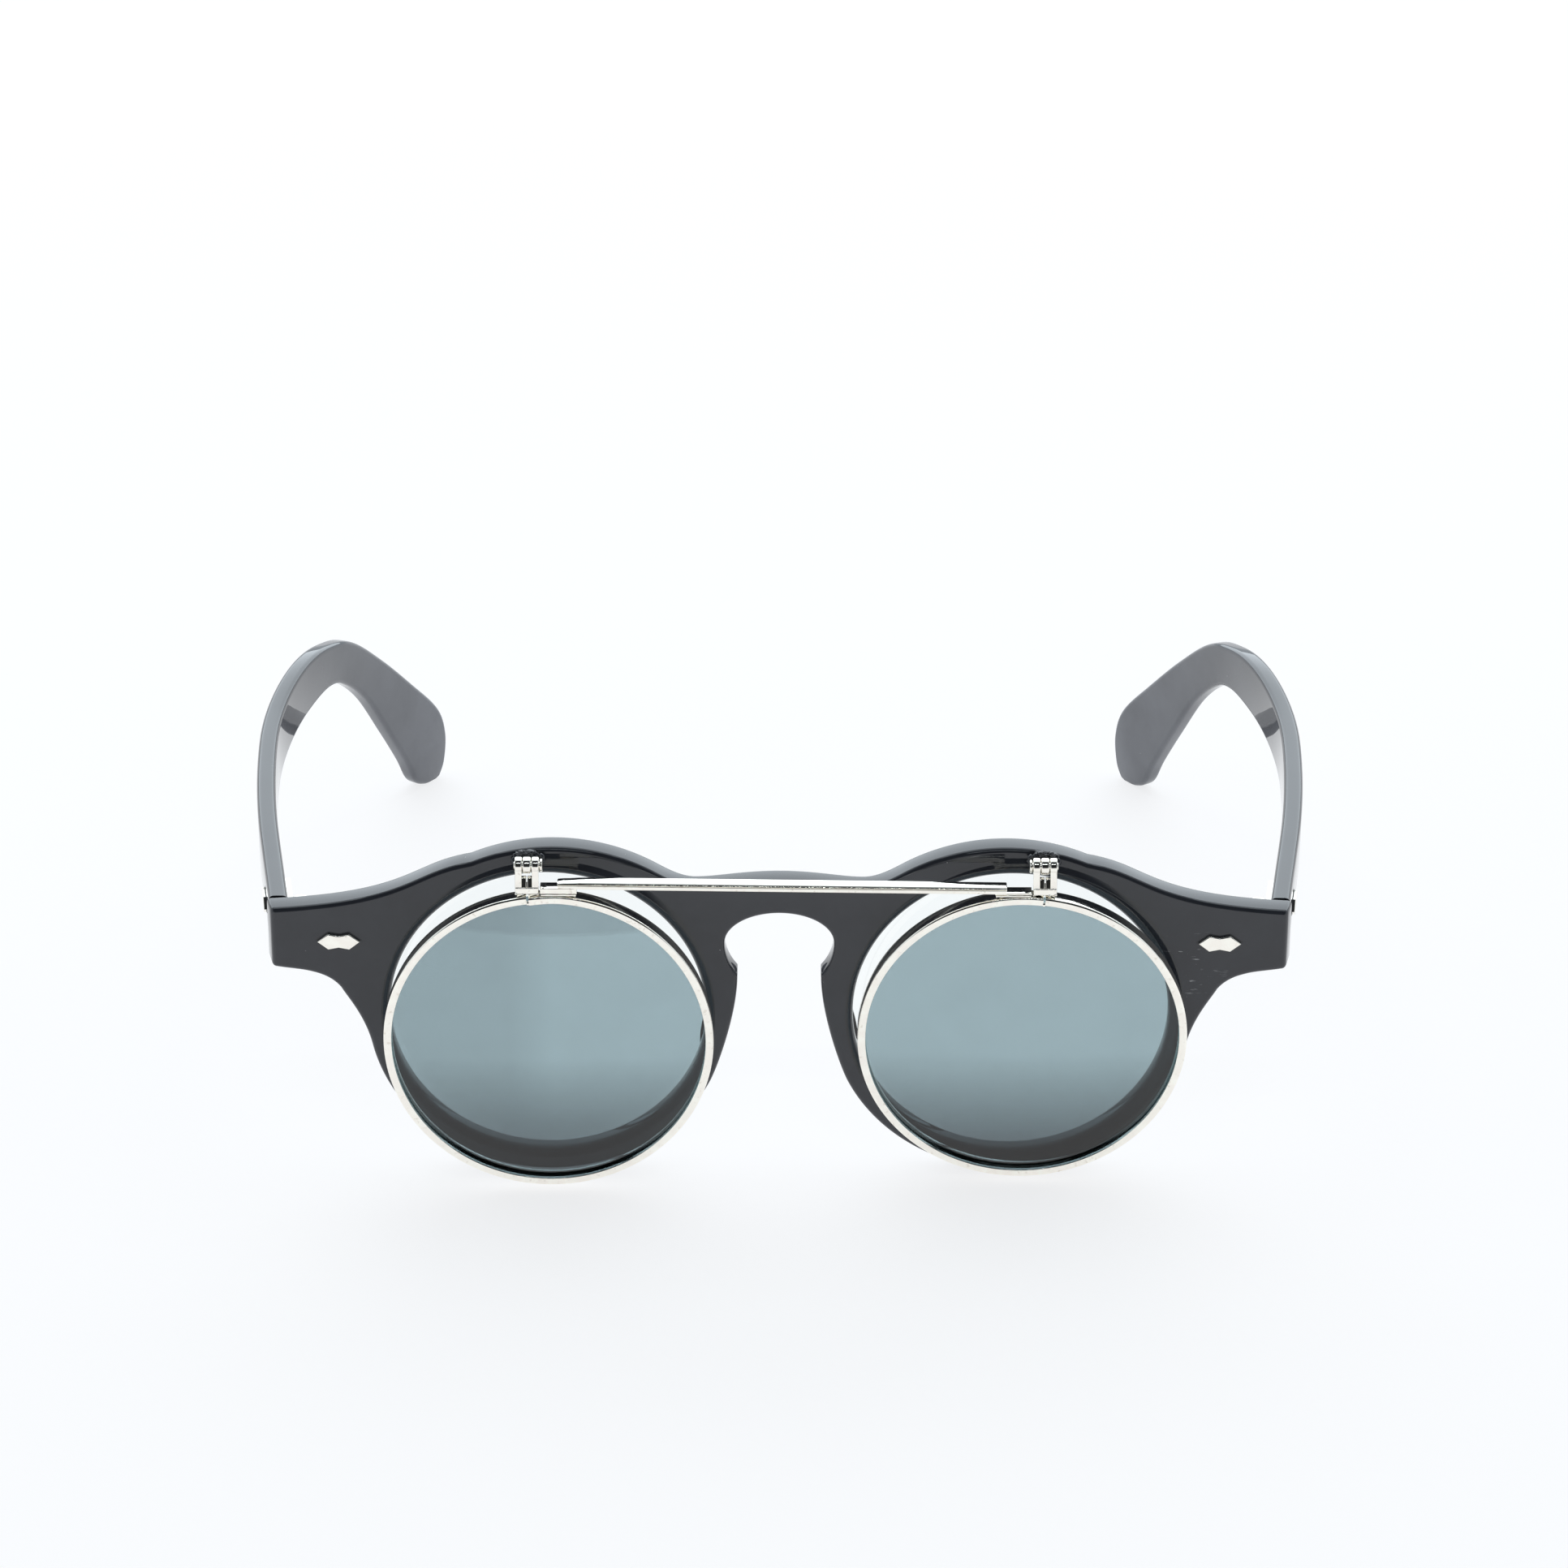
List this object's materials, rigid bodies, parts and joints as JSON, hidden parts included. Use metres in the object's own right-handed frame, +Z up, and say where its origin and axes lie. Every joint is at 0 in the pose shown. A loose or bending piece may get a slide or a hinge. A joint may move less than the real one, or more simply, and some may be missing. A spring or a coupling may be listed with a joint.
{
  "type": "flip-up sunglasses",
  "caption": "Round keyhole-bridge spectacles with clear lenses, folding temples and a plated flip-up unit of round rims, tinted lenses and a straight brow bar.",
  "frame": {"origin": "on the table, under the middle of the whole part's box", "axes": "+Z up, +X to the right as seen from the front, -Y out of the front towards whoever faces the wearer; the temples run back along +Y"},
  "size_m": [0.152, 0.1295, 0.051],
  "materials": {
    "black_plastic": "polished black plastic, mirror gloss with faint dust and fine scuffs",
    "plated_metal": "bright plated metal with a warm cream tone, polished edges",
    "hinge_metal": "plain plated hinge metal, lightly brushed",
    "tinted_lens": "smooth grey-green tinted lens",
    "clear_lens": "smooth clear lens"
  },
  "bodies": {
    "front": {"front_frame": "black_plastic", "nose_pad_left": "black_plastic", "nose_pad_right": "black_plastic", "clear_lens_left": "clear_lens", "clear_lens_right": "clear_lens", "front_rivet_left": "plated_metal", "front_rivet_right": "plated_metal", "hinge_front_leaf_left": "hinge_metal", "hinge_front_leaf_right": "hinge_metal", "hinge_screw_left": "hinge_metal", "hinge_screw_right": "hinge_metal", "flip_hinge_base_left": "plated_metal", "flip_hinge_base_right": "plated_metal", "flip_hinge_pin_left": "plated_metal", "flip_hinge_pin_right": "plated_metal"},
    "temple_left": {"temple_left": "black_plastic", "temple_rivet_left": "plated_metal", "hinge_temple_leaf_left": "hinge_metal"},
    "temple_right": {"temple_right": "black_plastic", "temple_rivet_right": "plated_metal", "hinge_temple_leaf_right": "hinge_metal"},
    "flip_unit": {"flip_hinge_fork_left": "plated_metal", "flip_hinge_fork_right": "plated_metal", "flip_rim_left": "plated_metal", "flip_rim_right": "plated_metal", "flip_lens_left": "tinted_lens", "flip_lens_right": "tinted_lens", "bar_foot_left": "plated_metal", "bar_foot_right": "plated_metal", "brow_bar": "plated_metal"}
  },
  "joints": [
    {"name": "temple_left_fold", "type": "hinge", "parent": "front", "child": "temple_left", "pos_m": [-0.066, -0.0534, 0.037], "axis": [0, 0, -1], "range_deg": [0, 84]},
    {"name": "temple_right_fold", "type": "hinge", "parent": "front", "child": "temple_right", "pos_m": [0.066, -0.0534, 0.037], "axis": [0, 0, 1], "range_deg": [0, 79]},
    {"name": "flip_up", "type": "hinge", "parent": "front", "child": "flip_unit", "pos_m": [0, -0.0618, 0.0499], "axis": [-1, 0, 0], "range_deg": [0, 92]}
  ]
}
